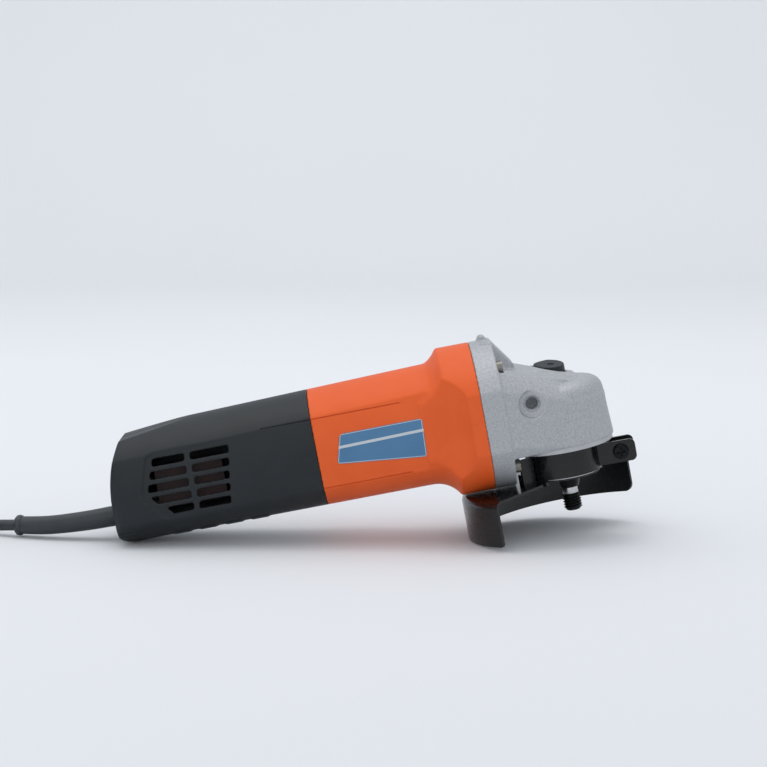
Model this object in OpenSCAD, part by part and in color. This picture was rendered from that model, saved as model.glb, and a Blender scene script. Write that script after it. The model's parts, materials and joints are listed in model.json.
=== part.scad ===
// Angle grinder for 100 mm discs, lying on its guard and the heel of its handle.
// Every sub-part is drawn in the tool frame: X runs forward along the motor axis, Z up along
// the spindle, and the origin is where the two axes cross. stand() then lays the tool down.

/* [Motor housing] */
// Spindle axis to the seam between motor housing and handle
seam_x = 132.5; // [126:0.5:140]
// Motor axis to the top of the body at the seam
body_top = 32.1; // [31.6:0.1:36]
// Motor axis to the underside of the body
body_bottom = 32.3; // [31.6:0.1:36]
// Half the width of the body across its flat sides
body_side = 28.3; // [28:0.1:34]
// Height of the creases above and below the motor axis
crease_z = 19.7; // [17:0.1:22]
// Height of the fine mould grooves along both sides
groove_z = 19.1; // [16:0.1:19.2]
// How far the flat sides bulge between the creases
side_bulge = 1.8; // [1.2:0.1:2.6]
// Rise of the top line towards the nose, in degrees
top_rise = 1.6; // [0:0.1:2]
// Wall of the moulded housings
wall = 2.5; // [2:0.1:3]
// Radius of the flared front end
flare_r = 41; // [40:0.5:43]
// Half the width across the flats of the flared end
flare_side = 37.5; // [36.5:0.5:39]

/* [Handle] */
// Spindle axis to the back of the handle
handle_x = 247.5; // [243:0.5:258]
// Radius of the handle's back in side view
back_r = 94; // [80:1:110]
// Radius of the handle's heel
heel_r = 9; // [6:0.5:10]
// Height of one vent slot
vent_h = 4.1; // [3:0.1:4.6]
// Spacing of the vent slots
vent_pitch = 6.8; // [6:0.1:7]
// Rows of vent slots
vent_rows = 5; // [3:1:5]

/* [Gear head] */
// Spindle axis to the joint face of the gear head
flange_x = 41; // [40:0.5:43]
// Thickness of the gear head's joint flange
flange_t = 12; // [11:0.5:12.5]
// Radius of the rounded nose
nose_r = 29; // [28.5:0.5:32]
// Motor axis to the bottom face of the gear head
head_bottom = 22; // [21:0.5:24]
// Radius of the gear chamber
chamber_r = 25.9; // [25.2:0.1:26.2]
// Height of the side handle hole above the motor axis
side_hole_z = 5.6; // [4:0.1:8]
// Distance of the side handle hole behind the spindle axis
side_hole_x = 14.4; // [13:0.1:16]
// Thread radius of the side handle hole (M8)
side_hole_r = 4; // [4:0.5:5]
// Spread of the four housing screws to each side
screw_y = 23.5; // [22.5:0.5:24]
// Spread of the four housing screws up and down
screw_z = 27; // [26.5:0.5:27.5]

/* [Gears] */
// Teeth on the motor pinion
pinion_teeth = 10; // [10:1:10]
// Teeth on the spindle gear
gear_teeth = 33; // [33:1:33]
// Outer module of the bevel teeth
gear_module = 1.4; // [1.3:0.05:1.4]
// Length of the teeth
tooth_w = 6.5; // [5:0.5:7]
// Backlash on the pitch circle
backlash = 0.22; // [0.16:0.02:0.3]

/* [Spindle] */
// Thread radius of the spindle (M10)
thread_r = 5; // [5:0.5:5]
// Length of the spindle thread
thread_len = 9.5; // [9:0.5:16]
// Motor axis to the face that carries the disc flange
seat_z = 43.6; // [43.4:0.1:46]
// Radius of the flange seat
seat_r = 6.5; // [6.2:0.1:7.5]
// Radius of the spindle in its ball bearing
journal_r = 6; // [6:0.5:6]

/* [Guard] */
// Outer radius of the guard
guard_r = 60; // [58:0.5:66]
// Sheet thickness of the guard
guard_t = 1.5; // [1.2:0.1:2]
// Depth of the guard from its plate to its rim
guard_depth = 23.9; // [20:0.1:26]
// Radius of the bend between plate and rim
guard_bend = 4; // [3:0.5:6]
// Angle at which the guard's far end lies, from straight ahead
guard_from = 49; // [40:1:60]
// Angle at which the guard's near end lies, from straight ahead
guard_to = 223.4; // [215:0.1:235]
// Radius of the neck that the guard is clamped on
neck_r = 18; // [18:0.1:19]
// Strip thickness of the guard's collar
collar_t = 1.6; // [1.4:0.1:2]
// Distance between the two clamp lugs
lug_gap = 12; // [8:0.5:13]

/* [Switch and lock] */
// Travel of the slide switch
switch_travel = 6; // [5:0.5:7]
// Travel of the spindle lock
lock_travel = 3.5; // [3:0.1:3.6]
// Radius of the lock button
lock_r = 8.3; // [8:0.1:8.6]
// Radius of the lock pin
lock_pin_r = 2.2; // [2:0.1:2.4]

/* [Motor] */
// Radius of the armature core
core_r = 15; // [14:0.5:16]
// Air gap between armature and stator
air_gap = 0.6; // [0.4:0.1:1]
// Length of the laminated cores
core_len = 42; // [36:1:44]
// Radius of the fan
fan_r = 26; // [23:0.5:26.5]
// Number of fan blades
fan_blades = 13; // [9:1:15]
// Radius of the commutator
commutator_r = 11; // [10:0.5:12]

/* [Cord] */
// Diameter of the mains cord
cord_d = 6.3; // [5.8:0.1:7]
// Height of the cord exit below the motor axis
exit_z = 17.5; // [16:0.5:19]
// Mean radius of the stored coil
coil_r = 34.6; // [32:0.1:40]
// Turns beside each other in the coil, and layers
coil_stack = 3; // [3:1:3]

/* [Hidden] */
$fn = 64;

slip = 0.05;      // radial running clearance of shafts and pins
gap = 0.3;        // clearance between parts that pass or face each other
eps = 0.02;       // overlap that makes two volumes one

// Body section: two wide arcs for top and bottom, two shallow arcs for the sides
crease_y = body_side - side_bulge;
function arc_radius(half, rise) = (half * half + rise * rise) / (2 * rise);
top_r = arc_radius(crease_y, body_top - crease_z);
bottom_r = arc_radius(crease_y, body_bottom - crease_z);
side_r = arc_radius(crease_z, side_bulge);

// Inner spigot of the motor housing that carries the handle and the rear bearing
spigot_gap = 0.15;
spigot_t = 1.8;
spigot_in = wall + spigot_gap + spigot_t;
spigot_end = seam_x + 30.5;

// Guard heights: plate centre below the motor axis
plate_z = seat_z - 1.2;
rim_z = plate_z + guard_depth;
collar_in = neck_r + 0.15;
collar_out = collar_in + collar_t;
lug_end = collar_out + 19.3;
lug_r = collar_out + 11;
lug_z = 32.4;
lug_h = 12;
clamp_r = 2.5;
clamp_angle = -4;

// How the tool lies: the line through the guard's rim and the handle's heel is the ground
heel = [-(handle_x - heel_r), -(body_bottom - heel_r)];
rest_d = [-guard_r - heel[0], -rim_z - heel[1]];
rest_tilt = -atan2(rest_d[1], rest_d[0]) - asin(heel_r / norm(rest_d));
rest_h = guard_r * sin(rest_tilt) + rim_z * cos(rest_tilt);
back_c = [-(handle_x - back_r), -17];
row_back = back_c[0] * cos(rest_tilt) - back_c[1] * sin(rest_tilt) - back_r;
row_front = guard_r * cos(guard_from) * cos(rest_tilt) + (rim_z - 5) * sin(rest_tilt);
origin_x = -(row_back + row_front) / 2;
origin_y = -(guard_r + guard_r * sin(guard_to)) / 2;

// Bevel gear set, with both pitch cones meeting at the origin
pinion_pitch = gear_module * pinion_teeth / 2;
gear_pitch = gear_module * gear_teeth / 2;
pinion_cone = atan(pinion_teeth / gear_teeth);
gear_cone = 90 - pinion_cone;
cone_len = norm([pinion_pitch, gear_pitch]);
toe = (cone_len - tooth_w) / cone_len;
pressure = 25;
shift = 0.35;
web_z = 8.5;

// Axial places along the motor axis, all behind the spindle
front_brg = [33, 41];
fan_x = [47.5, 59.5];
core_x = [76, 76 + core_len];
comm_x = [134, 149];
brush_x = 142;
rear_brg = [155, 161];
rear_seat_r = 10.5;
shaft_r = 5;

// Lock button and its pin, beside the spindle's top bush
lock_c = [1, 6.5];
pin_c = [1.5, 10.1];
pocket_z = 11.2;
button_z = pocket_z + lock_travel + 0.2;
roof_z = 8.5;
bush = [1.5, 9];
pilot_r = 3.5;
bush_r = 5.5;

// Slide switch, on the left side of the motor housing
slide_x = 108;
slide_z = 3;
rod_y = [23.6, 25];
rod_end = 203;
toggle_x = 199;

// Boot and cord route in the frame of the tool as it lies, on the ground plane z = 0
cord_r = cord_d / 2;
boot_len = 58;
boot_route = [[-144.4, -9.4, 13.7], [-163, -9, 10.4], [-183, -6, 7.6], [-202, 0, 6.4]];
cord_route = [[-202, 0, 6.4], [-211.5, 3, 5.8], [-222, 8, 4.4], [-235, 16.5, 3.3],
              [-250, 24.5, 3.2], [-263, 29.5, 3.2], [-276, 31.2, 3.2]];
end_route = [[-317, -14, 10.4], [-318, -24, 10.4], [-320, -35, 10.2], [-322, -46, 10]];
coil_c = [-276, -10];
coil_w = coil_stack * cord_d + 0.3;
tie_t = 1;
plug_at = [-322, -46, 10];
plug_len = 38;
plug_w = 35;
plug_t = 20;
pin_len = 19;
pin_pitch = 19;
pin_r = 2.4;

// ---------- helpers ----------

module stand() {
    translate([origin_x, origin_y, rest_h]) rotate([0, -rest_tilt, 0]) children();
}

// Cylinder along the motor axis, between two distances behind the spindle
module along(x1, x2, r) {
    translate([-x2, 0, 0]) rotate([0, 90, 0]) cylinder(r = r, h = x2 - x1);
}

module tube_along(x1, x2, r_out, r_in) {
    difference() {
        along(x1, x2, r_out);
        along(x1 - 1, x2 + 1, r_in);
    }
}

// Upright cylinder at a place, between two heights
module post(at, z1, z2, r) {
    translate([at[0], at[1], z1]) cylinder(r = r, h = z2 - z1);
}

module block(x, y, z) {
    translate([x[0], y[0], z[0]]) cube([x[1] - x[0], y[1] - y[0], z[1] - z[0]]);
}

module rounded_slab(size, r) {
    for (sx = [-1, 1]) for (sy = [-1, 1])
        translate([sx * (size[0] / 2 - r), sy * (size[1] / 2 - r), 0]) cylinder(r = r, h = size[2]);
    translate([-size[0] / 2, -size[1] / 2 + r, 0]) cube([size[0], size[1] - 2 * r, size[2]]);
    translate([-size[0] / 2 + r, -size[1] / 2, 0]) cube([size[0] - 2 * r, size[1], size[2]]);
}

function arc(c, r, a1, a2, n) = [for (i = [0:n]) let (a = a1 + (a2 - a1) * i / n)
    [c[0] + r * cos(a), c[1] + r * sin(a)]];

// Tube swept along points, with one radius per point
function unit(v) = v / norm(v);
function path_dir(p, i) = unit(p[min(i + 1, len(p) - 1)] - p[max(i - 1, 0)]);
function ring_at(c, t, r, n) = let (s = unit(cross(t, [0, 0, 1])), u = cross(s, t))
    [for (k = [0:n - 1]) c + r * (cos(360 * k / n) * s + sin(360 * k / n) * u)];
module sweep(p, radii, n = 12) {
    last = len(p) - 1;
    pts = [for (i = [0:last]) each ring_at(p[i], path_dir(p, i), radii[i], n)];
    sides = [for (i = [0:last - 1]) for (k = [0:n - 1])
        each [[i * n + k, i * n + (k + 1) % n, (i + 1) * n + (k + 1) % n],
              [i * n + k, (i + 1) * n + (k + 1) % n, (i + 1) * n + k]]];
    caps = [[for (k = [n - 1:-1:0]) k], [for (k = [0:n - 1]) last * n + k]];
    polyhedron(pts, concat(sides, caps));
}

// Smooth curve through chosen points
function mix(a, b, c, d, t) = 0.5 * (2 * b + (c - a) * t + (2 * a - 5 * b + 4 * c - d) * t * t
    + (3 * b - a - 3 * c + d) * t * t * t);
function curve(p, n) = concat([for (i = [0:len(p) - 2]) for (k = [0:n - 1])
    mix(p[max(i - 1, 0)], p[i], p[i + 1], p[min(i + 2, len(p) - 1)], k / n)], [p[len(p) - 1]]);

// ---------- body shape ----------

// Four long arcs whose overlap is the body section, shrunk by inset
module top_arc(inset) {
    translate([-seam_x, 0, body_top - top_r]) rotate([0, 90 - top_rise, 0])
        cylinder(r = top_r - inset, h = 400, center = true);
}

module bottom_arc(inset) {
    translate([-seam_x, 0, bottom_r - body_bottom]) rotate([0, 90, 0])
        cylinder(r = bottom_r - inset, h = 400, center = true);
}

module side_arc(side, inset) {
    translate([-seam_x, side * (body_side - side_r), 0]) rotate([0, 90, 0])
        cylinder(r = side_r - inset, h = 400, center = true);
}

module body_core(x1, x2, inset) {
    intersection() {
        top_arc(inset);
        bottom_arc(inset);
        side_arc(1, inset);
        side_arc(-1, inset);
        block([-x2, -x1], [-50, 50], [-50, 50]);
    }
}

// Front of the motor housing: a cove that opens out to the round joint flange
module flare() {
    cove_x = 74;
    cove_r = 16.3;
    side_cove_x = 70;
    side_rise = flare_side - body_side;
    side_cove_r = arc_radius(22, side_rise);
    intersection() {
        rotate([0, -90, 0]) rotate_extrude() difference() {
            translate([0, flange_x]) square([flare_r, cove_x - flange_x]);
            translate([body_bottom + cove_r, cove_x]) circle(r = cove_r);
        }
        translate([0, 0, -50]) linear_extrude(100) difference() {
            translate([-cove_x, -flare_side]) square([cove_x - flange_x, 2 * flare_side]);
            for (s = [-1, 1]) {
                translate([-side_cove_x, s * (body_side + side_cove_r)]) circle(r = side_cove_r);
                translate([-cove_x - 1, s * (body_side + 10) - 10]) square([3, 20]);
            }
        }
    }
}

// Screw columns at the four corners of the joint flange
module corner_columns(x1, x2, r) {
    for (y = [-screw_y, screw_y]) for (z = [-screw_z, screw_z])
        translate([0, y, z]) along(x1, x2, r);
}

// Fine grooves that the mould leaves along both sides, between two distances
module side_grooves(x1, x2, levels) {
    width = 0.6;
    for (z = levels) for (s = [-1, 1]) difference() {
        block([-x2, -x1], s > 0 ? [20, 40] : [-40, -20], [z - width / 2, z + width / 2]);
        side_arc(s, 0.7);
    }
}

// ---------- motor housing ----------

module motor_housing() color("orangered") stand() {
    difference() {
        union() {
            difference() {
                union() {
                    body_core(60, seam_x, 0);
                    flare();
                }
                body_core(56, seam_x - 8.5, wall);
                body_core(seam_x - 9, seam_x + 1, spigot_in);
                fan_chamber();
            }
            intersection() {
                corner_columns(flange_x, 60, 4.6);
                along(flange_x - 1, 70, flare_r - 1);
            }
            rear_spigot();
        }
        corner_columns(flange_x - 1, 56, 1.7);
        block([-slide_x - 9, -slide_x + 9 + switch_travel / 2], [22, 40],
              [slide_z - 3.2, slide_z + 3.2]);
        block([-seam_x - 1, -seam_x + 12], [rod_y[0] - 0.6, rod_y[1] + 0.4],
              [slide_z - 4.3, slide_z + 4.3]);
        side_grooves(84, seam_x + 1, [groove_z, -groove_z]);
        difference() {
            body_core(seam_x - 1.5, seam_x - 1, -2);
            body_core(seam_x - 2, seam_x, 0.4);
        }
    }
}

// Round room for the fan, wider where it opens to the gear head
module fan_chamber() {
    along(flange_x - 1, fan_x[1] + 1.5, fan_r + 1.2);
    intersection() {
        along(flange_x - 1, 48, flare_r - 5);
        block([-50, 0], [-flare_side + 3, flare_side - 3], [-50, 50]);
    }
}

// Ring and spider behind the seam that hold the handle and the rear bearing
module rear_spigot() {
    difference() {
        union() {
            difference() {
                body_core(seam_x - 8.5, spigot_end, wall + spigot_gap);
                body_core(seam_x - 9, spigot_end + 1, spigot_in);
            }
            along(rear_brg[0] - 2.5, rear_brg[1] + 2, rear_seat_r + 2.5);
            intersection() {
                body_core(rear_brg[0] - 2.5, rear_brg[1] + 2, spigot_in - 1);
                block([-170, -100], [-40, 40], [-6, 6]);
            }
        }
        along(rear_brg[0] - 0.5, rear_brg[1] + 3, rear_seat_r);
        along(100, 170, 8);
        for (s = [-1, 1])
            block([-spigot_end - 1, -seam_x - 0.5], [-15, 15], [s * 32 - 14, s * 32 + 14]);
        block([-spigot_end - 1, -100], [rod_y[0] - 0.6, 40], [slide_z - 4.3, slide_z + 4.3]);
    }
}

// ---------- handle ----------

module handle_form(inset) {
    heel_in = heel_r - inset;
    intersection() {
        body_core(seam_x, handle_x + 5, inset);
        translate([0, 60, 0]) rotate([90, 0, 0]) linear_extrude(120) intersection() {
            translate(back_c) circle(r = back_r - inset);
            polygon([[-seam_x + 1, 60], [-195, 60], [-198.3, 30.2 - inset],
                     [-240, 25 - inset], [-260, 20 - inset], [-260, heel[1]],
                     [heel[0], heel[1]], [heel[0], -60], [-seam_x + 1, -60]]);
        }
        translate([0, 0, -60]) linear_extrude(120) union() {
            back_c2 = [-(handle_x - heel_r), body_side - heel_r];
            translate([-(handle_x - heel_r), -50]) square([handle_x, 100]);
            translate([-handle_x + inset, -back_c2[1]]) square([60, 2 * back_c2[1]]);
            for (s = [-1, 1]) translate([back_c2[0], s * back_c2[1]]) circle(r = heel_in);
        }
    }
    intersection() {
        body_core(seam_x, handle_x + 5, inset);
        translate([heel[0], 0, heel[1]]) rotate([90, 0, 0])
            cylinder(r = heel_in, h = 2 * (body_side - heel_r), center = true);
    }
}

// Grip pads moulded under the handle
module grip_pads() {
    pad_x = [166, 180.4, 194.8, 209.2];
    intersection() {
        bottom_arc(-0.5);
        for (x = pad_x) block([-x - 9, -x], [-14, 14], [-40, -26]);
    }
}

// Outline of one vent row, slanted at its outer ends and cut off at the lower corner
module vent_row(i) {
    z = 12 - i * vent_pitch;
    half = vent_h / 2;
    left = [-220, -222.3, -224.6, -225, -217.6][i];
    right = [-178.4, -179.4, -180.4, -181.4, -182.4][i];
    slant = i < 3 ? 1 : -3.4;
    polygon([[left, z + half], [left - slant, z - half], [-203.2, z - half], [-202.7, z + half]]);
    polygon([[-199.4, z + half], [-199.9, z - half], [right - 0.4, z - half], [right, z + half]]);
}

module vents(side) {
    rotate([90, 0, 0]) translate([0, 0, side > 0 ? -40 : 20]) linear_extrude(20)
        for (i = [0:vent_rows - 1]) vent_row(i);
}

// Shallow recess round the vents
module vent_panel(side) {
    panel_end = 168;
    intersection() {
        rotate([90, 0, 0]) translate([0, 0, side > 0 ? -40 : 20]) linear_extrude(20)
            polygon([[-219, 17.6], [-222.4, 16.4], [-224.2, 13.8], [-229.2, -4], [-228.8, -7.2],
                     [-220, -18.6], [-217, -20.4], [-172, -20.4], [-160, 17.6]]);
        difference() {
            block([-240, -160], side > 0 ? [20, 40] : [-40, -20], [-30, 30]);
            translate([-panel_end, 0, 0]) rotate([0, 0, side * 0.95]) translate([panel_end, 0, 0])
                side_arc(side, 0);
        }
    }
}

boss_x = [150.5, 222];
boss_z = [24.6, 17.2];

module handle_half(side) {
    difference() {
        union() {
            difference() {
                union() {
                    handle_form(0);
                    grip_pads();
                }
                handle_form(wall);
                body_core(seam_x - 1, seam_x + 6, wall);
            }
            intersection() {
                handle_form(1);
                union() {
                    for (i = [0:1]) translate([-boss_x[i], 0, boss_z[i]]) rotate([90, 0, 0])
                        cylinder(r = 3.4, h = i == 0 ? 24 : 60, center = true);
                    for (y = [-8.5, 8.5]) post([-227, y], -40, -16.2, 3.2);
                    block([-231, -223], [-6, 6], [-40, -exit_z]);
                }
            }
        }
        vents(side);
        vent_panel(side);
        side_grooves(seam_x - 1, 160, [groove_z]);
        for (i = [0:1]) translate([-boss_x[i], 30, boss_z[i]]) rotate([90, 0, 0]) {
            cylinder(r = 1.5, h = 42);
            cylinder(r = 3.1, h = i == 0 ? 20 : 12);
        }
        for (y = [-8.5, 8.5]) post([-227, y], -27, 0, 1.2);
        translate([0, 0, -exit_z]) along(220, 240, cord_r);
        translate([0, 0, -exit_z]) along(236, 260, 6);
        translate([0, 0, -exit_z]) along(236, handle_x - 2.8, 8.6);
        block([-300, 0], side > 0 ? [-60, 0] : [0, 60], [-60, 60]);
    }
}

module handle_right() color("dimgray") stand() handle_half(-1);
module handle_left() color("dimgray") stand() handle_half(1);

module handle_screws() color("silver") stand() {
    for (i = [0:1]) translate([-boss_x[i], 0, boss_z[i]]) rotate([90, 0, 0]) {
        translate([0, 0, i == 0 ? -10 : -18]) cylinder(r = 1.5, h = i == 0 ? 20 : 26);
        difference() {
            translate([0, 0, i == 0 ? -12.2 : -20.2]) cylinder(r = 2.9, h = 2.2);
            translate([0, 0, i == 0 ? -13 : -21]) cylinder(r = 1.4, h = 1.8, $fn = 6);
        }
    }
}

module rating_label() color("steelblue") stand() {
    intersection() {
        side_arc(-1, -0.25);
        difference() {
            rotate([90, 0, 0]) linear_extrude(50)
                polygon([[-118.7, 8.7], [-70.4, 9], [-72.5, -12.6], [-123, -7.1]]);
            side_arc(-1, 0);
            block([-74, 0], [-60, 0], [-60, 60]);
        }
    }
}

// ---------- gear head ----------

// Turned outline of the nose, with a rounded shoulder and a slight draft
module nose_form() {
    shoulder = 8;
    c = [nose_r - 1.6 - shoulder, 3.8];
    rotate_extrude() polygon(concat([[0, -head_bottom], [nose_r, -head_bottom]],
        arc(c, shoulder, 6, 82, 7), [[0, 15.5]]));
}

module head_form() {
    nose_form();
    intersection() {
        union() {
            along(flange_x - flange_t, flange_x, flare_r);
            translate([-33.5, 0, 41.4]) rotate([90, 0, 0]) cylinder(r = 2.4, h = 9, center = true);
        }
        block([-flange_x, 0], [-flare_side, flare_side], [-60, 60]);
    }
    difference() {
        hull() {
            intersection() {
                along(flange_x - flange_t + 0.4, flange_x - 1, flare_r - 1, $fn = 48);
                block([-flange_x, 0], [0.7 - flare_side, flare_side - 0.7], [-34, 26]);
            }
            post([0, 0], -head_bottom, 1.5, nose_r - 1, $fn = 32);
            post([0, 0], -head_bottom, 10.5, nose_r - 8.6, $fn = 32);
        }
        block([flange_t - flange_x, 40], [-50, 50], [-60, -head_bottom]);
    }
    hull() {
        block([-35, -29.5], [-13, 13], [10, 40.5]);
        block([-20, -19], [-11, 11], [5, 26]);
    }
    hull() {
        block([-24, -7], [-12, 12], [5, 20.6]);
        block([-7, 14], [-9, 14.5], [5, 13.2]);
    }
    intersection() {
        post([0, 0], 5, 30, 20.4);
        rotate([0, 20, 0]) translate([0, 0, -15]) cube([60, 60, 60], center = true);
    }
    side_boss(1);
    side_boss(-1);
}

module side_boss(s) {
    translate([-side_hole_x, 0, side_hole_z]) rotate([-90 * s, 0, 0])
        cylinder(r1 = 10, r2 = 7.6, h = 30.6);
}

module gear_housing() color("silver") stand() {
    difference() {
        union() {
            difference() {
                head_form();
                rotate_extrude() polygon([[0, -head_bottom - 1], [chamber_r, -head_bottom - 1],
                    [chamber_r, 1], [chamber_r - 5.4, roof_z], [0, roof_z]]);
                along(20, front_brg[0] + 1, 10.6);
            }
            post([0, 0], 0.8, roof_z + 1, bush_r + 2.4);
            post(pin_c, 0.8, roof_z + 1, lock_pin_r + 2.6);
            intersection() {
                post([0, 0], -head_bottom, roof_z + 1, chamber_r + 1);
                union() {
                    for (s = [-1, 1]) translate([-side_hole_x, s * 19.5, side_hole_z])
                        rotate([-90 * s, 0, 0]) cylinder(r = 6.2, h = 12);
                }
            }
        }
        post([0, 0], 0, bush[1], bush_r);
        post(pin_c, -1, pocket_z + 1, lock_pin_r + slip);
        post(lock_c, pocket_z, 40, lock_r + 0.4);
        along(front_brg[0], front_brg[1] + 1, 13);
        for (s = [-1, 1]) translate([-side_hole_x, s * 20.5, side_hole_z])
            rotate([-90 * s, 0, 0]) {
                cylinder(r = side_hole_r, h = 14);
                translate([0, 0, 9.3]) cylinder(r1 = side_hole_r, r2 = side_hole_r + 1, h = 1);
                translate([0, 0, 10.1]) cylinder(r = side_hole_r + 3.4, h = 12);
            }
        corner_columns(flange_x - 20, flange_x + 1, 2.15);
        corner_columns(flange_x - 34, flange_x - flange_t, 4.4);
        for (s = [-1, 1]) hull() for (d = [0, 8])
            translate([0, s * (screw_y + d), screw_z + d / 2]) along(flange_x - 26, flange_x - flange_t, 4.4);
        retainer_screw_places() translate([0, 0, -head_bottom - 1]) cylinder(r = 1.6, h = 9);
    }
}

module housing_screws() color("silver") stand() {
    corner_columns(flange_x - flange_t, flange_x + 13, 1.7);
    difference() {
        corner_columns(flange_x - flange_t - 3, flange_x - flange_t, 3.8);
        for (y = [-screw_y, screw_y]) for (z = [-screw_z, screw_z])
            translate([flange_t + 2.2 - flange_x, y, z]) {
            cube([1.8, 4.6, 1], center = true);
            cube([1.8, 1, 4.6], center = true);
        }
    }
}

module retainer_screw_places() {
    for (a = [45:90:315]) rotate([0, 0, a]) translate([23.4, 0, 0]) children();
}

retainer_t = 2.4;

module bearing_retainer() color("darkgray") stand() difference() {
    neck_end = plate_z - 1.4;
    union() {
        post([0, 0], -head_bottom - retainer_t, -head_bottom, nose_r - 1);
        post([0, 0], -neck_end, -head_bottom - eps, neck_r);
        post([0, 0], -head_bottom - eps, -head_bottom + 2, chamber_r - slip);
    }
    post([0, 0], -38, 0, 16);
    post([0, 0], -50, 0, 10);
    retainer_screw_places() translate([0, 0, -30]) {
        cylinder(r = 1.7, h = 12);
        translate([0, 0, 5.4]) cylinder(r = 3.1, h = 1.7);
    }
    for (a = [45:90:315]) rotate([0, 0, a]) translate([23.4, 0, -20.4]) cylinder(r = 1.6, h = 5);
}

module retainer_screws() color("silver") stand() retainer_screw_places() {
    translate([0, 0, -24.4]) cylinder(r = 3, h = 1.5);
    translate([0, 0, -23]) cylinder(r = 1.6, h = 8.2);
}

// ---------- spindle ----------

module spindle() color("gray") stand() {
    neck = [seat_z + 4.4, seat_z + 8];
    tip = neck[1] + thread_len;
    rotate_extrude() polygon([
        [0, -tip], [thread_r - 1, -tip], [thread_r, -tip + 1], [thread_r, -neck[1]],
        [4, -neck[1] + 0.4], [4, -neck[0]], [thread_r + 0.1, -neck[0]],
        [seat_r, -seat_z - 0.4], [seat_r, -seat_z + 1], [journal_r, -seat_z + 1],
        [journal_r, -28], [5, -28], [5, -8.1], [4.4, -8.1], [4.4, -7.1], [5, -7.1], [5, -6.2],
        [pilot_r, -4.7], [pilot_r, 8.1], [pilot_r - 0.5, 8.6], [0, 8.6]]);
}

module dust_ring() color("black") stand() difference() {
    post([0, 0], -seat_z + 1.2, -38.3, 9.6);
    post([0, 0], -50, -30, journal_r);
}

// Ball bearing rings: an inner and an outer ring with a groove for the balls
module bearing_ring(r1, r2, w, ball_c, ball_r) {
    rotate_extrude() difference() {
        translate([r1, -w / 2]) square([r2 - r1, w]);
        translate([ball_c, 0]) circle(r = ball_r + slip);
    }
}

module balls(n, ball_c, ball_r) {
    for (i = [0:n - 1]) rotate([0, 0, i * 360 / n]) translate([ball_c, 0, 0]) sphere(r = ball_r);
}

module at_spindle_bearing() translate([0, 0, -33]) children();
module at_front_bearing() translate([-37, 0, 0]) rotate([0, 90, 0]) children();
module at_rear_bearing() translate([-158, 0, 0]) rotate([0, 90, 0]) children();

module spindle_bearing_inner() color("silver") stand() at_spindle_bearing()
    bearing_ring(journal_r, 9, 10, 11, 2.9);
module spindle_bearing_outer() color("silver") stand() at_spindle_bearing()
    bearing_ring(13, 16, 10, 11, 2.9);
module front_bearing_inner() color("silver") stand() at_front_bearing()
    bearing_ring(shaft_r, 7.4, 8, 9, 2.3);
module front_bearing_outer() color("silver") stand() at_front_bearing()
    bearing_ring(10.6, 13, 8, 9, 2.3);
module rear_bearing_inner() color("silver") stand() at_rear_bearing()
    bearing_ring(3.5, 5.1, 6, 6.5, 1.7);
module rear_bearing_outer() color("silver") stand() at_rear_bearing()
    bearing_ring(7.9, 9.5, 6, 6.5, 1.7);

module bearing_balls() color("silver") stand() {
    at_spindle_bearing() balls(8, 11, 2.9);
    at_front_bearing() balls(8, 9, 2.3);
    at_rear_bearing() balls(8, 6.5, 1.7);
}

module rear_bearing_sleeve() color("black") stand()
    tube_along(rear_brg[0] - 0.4, rear_brg[1] + 0.4, rear_seat_r, 9.5);

module spindle_top_bush() color("goldenrod") stand() difference() {
    post([0, 0], bush[0], bush[1], bush_r);
    post([0, 0], bush[0] - 1, bush[1] + 1, pilot_r + slip);
}

module gear_circlip() color("gray") stand() difference() {
    post([0, 0], -8.1, -7.1, 6.4);
    post([0, 0], -9, -6, 4.4);
    block([0, 10], [-1.6, 1.6], [-9, -6]);
}

// ---------- bevel gears ----------

function inv(a) = tan(a) * 180 / PI - a;

// Half angle of a tooth at a radius of the developed back cone
function half_tooth(rv, rp, rb, zv, x) =
    90 / zv + (2 * x * tan(pressure) / zv) * 180 / PI - backlash / 4 / rp * 180 / PI
    + inv(pressure) - inv(acos(min(1, rb / max(rv, rb))));

// Points of the whole tooth row at the large end, about +Z, apex at the origin
function tooth_row(z, cone, x, tip, root, turn) = let (
    rp = gear_module * z / 2 / cos(cone), zv = z / cos(cone), rb = rp * cos(pressure),
    r1 = rp + gear_module * (tip + x), r0 = rp - gear_module * (root - x),
    rr = [r0, max(r0 + 0.4, rb), (max(r0, rb) + rp) / 2, rp, (rp + r1) / 2, r1],
    n = len(rr) - 1)
    [for (i = [0:z - 1]) for (k = [0:2 * n + 1]) let (
        j = k <= n ? k : 2 * n + 1 - k, s = k <= n ? -1 : 1, rv = rr[j],
        a = turn + i * 360 / z + s * half_tooth(rv, rp, rb, zv, x) / cos(cone),
        r = rv * cos(cone), h = cone_len * cos(cone) - (rv - rp) * sin(cone))
        [r * cos(a), r * sin(a), h]];

// Closed ring of teeth between the large end, the small end and a base
module bevel_teeth(row, base_out, base_in) {
    n = len(row);
    flat = [for (p = row) unit([p[0], p[1]])];
    pts = concat(row, [for (p = row) p * toe],
        [for (p = flat) [p[0] * base_in[0], p[1] * base_in[0], base_in[1]]],
        [for (p = flat) [p[0] * base_out[0], p[1] * base_out[0], base_out[1]]]);
    faces = [for (b = [0:3]) for (i = [0:n - 1]) let (j = (i + 1) % n, c = ((b + 1) % 4) * n)
        each [[b * n + i, c + j, c + i], [b * n + i, b * n + j, c + j]]];
    polyhedron(pts, faces);
}

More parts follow.
